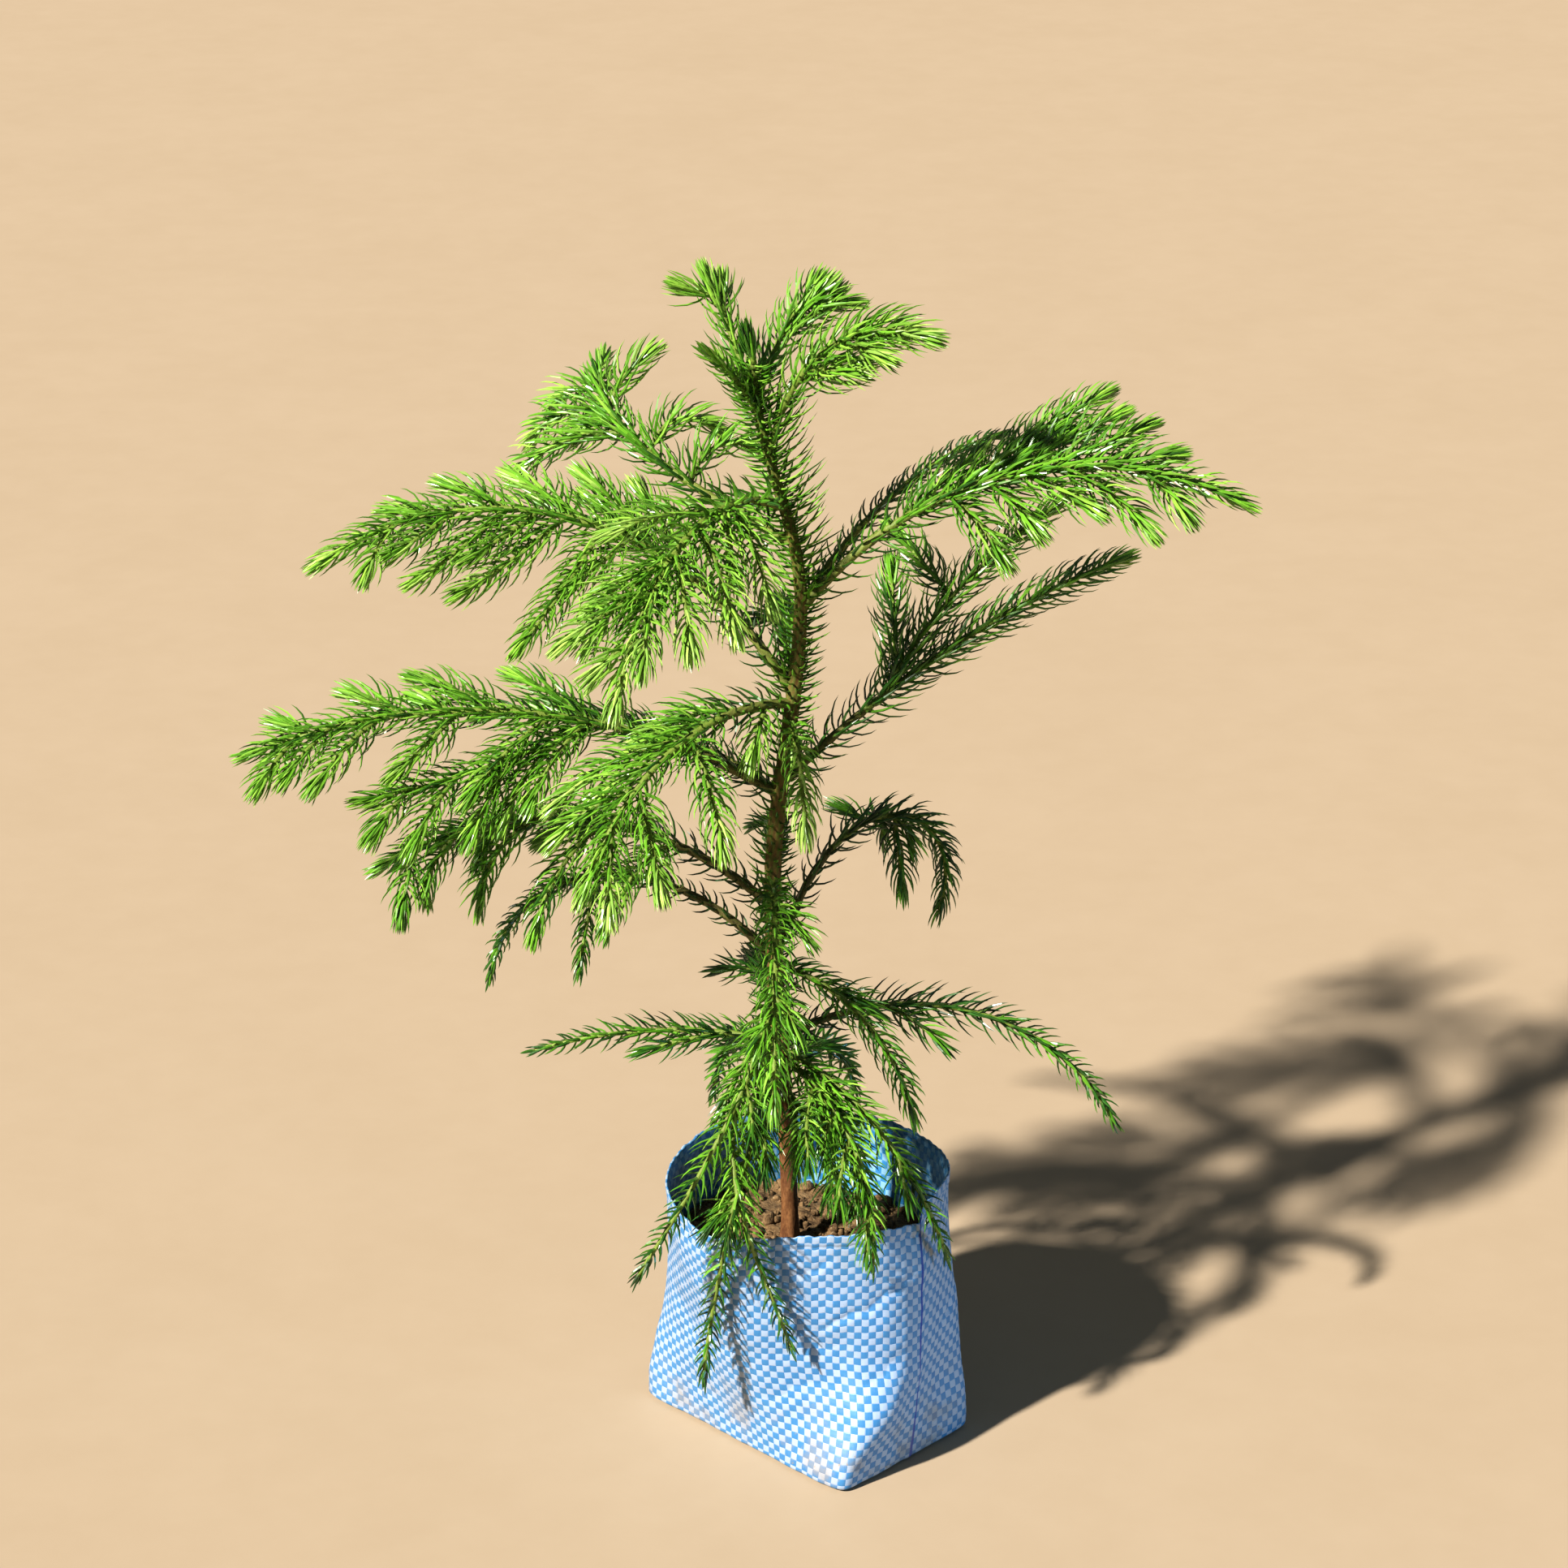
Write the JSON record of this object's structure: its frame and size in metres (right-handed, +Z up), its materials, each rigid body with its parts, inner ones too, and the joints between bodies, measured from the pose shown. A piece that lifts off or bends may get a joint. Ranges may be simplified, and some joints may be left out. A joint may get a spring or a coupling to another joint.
{
  "type": "potted young araucaria tree",
  "caption": "Young araucaria in a soil-filled woven grow bag: a swaying trunk with tiers of limbs that arch and droop under twigs set with needle leaves.",
  "frame": {"origin": "on the ground, in the middle of the bag's flat underside", "axes": "+Z up along the trunk, +X to the right in the picture, -Y towards its camera"},
  "size_m": [0.4059, 0.2567, 0.4975],
  "materials": {
    "woven_bag": "satin",
    "soil": "matte",
    "trunk_bark": "matte",
    "limb_bark": "matte",
    "foliage": "satin"
  },
  "bodies": {
    "root": {"grow_bag": "woven_bag", "leader_tuft": "foliage", "limb_fifth_back_left": "limb_bark", "limb_fifth_back_right": "limb_bark", "limb_fifth_front_left": "limb_bark", "limb_fifth_left": "limb_bark", "limb_fifth_right": "limb_bark", "limb_fourth_back_left": "limb_bark", "limb_fourth_front_left": "limb_bark", "limb_fourth_left": "limb_bark", "limb_fourth_right": "limb_bark", "limb_second_right": "limb_bark", "limb_third_back_right": "limb_bark", "limb_third_far_left": "limb_bark", "limb_third_left": "limb_bark", "soil": "soil", "spray_fifth_back_left": "foliage", "spray_fifth_back_right": "foliage", "spray_fifth_front_left": "foliage", "spray_fifth_left": "foliage", "spray_fifth_right": "foliage", "spray_fourth_back": "foliage", "spray_fourth_back_left": "foliage", "spray_fourth_front": "foliage", "spray_fourth_front_left": "foliage", "spray_fourth_left": "foliage", "spray_fourth_right": "foliage", "spray_low_back": "foliage", "spray_low_back_left": "foliage", "spray_low_front": "foliage", "spray_low_front_left": "foliage", "spray_low_front_right": "foliage", "spray_low_inner": "foliage", "spray_low_left": "foliage", "spray_low_right": "foliage", "spray_second_back": "foliage", "spray_second_front_right": "foliage", "spray_second_left": "foliage", "spray_second_right": "foliage", "spray_third_back": "foliage", "spray_third_back_right": "foliage", "spray_third_far_left": "foliage", "spray_third_front": "foliage", "spray_third_left": "foliage", "spray_top_back": "foliage", "spray_top_front_left": "foliage", "spray_top_left": "foliage", "spray_top_right": "foliage", "trunk": "trunk_bark"}
  },
  "joints": []
}
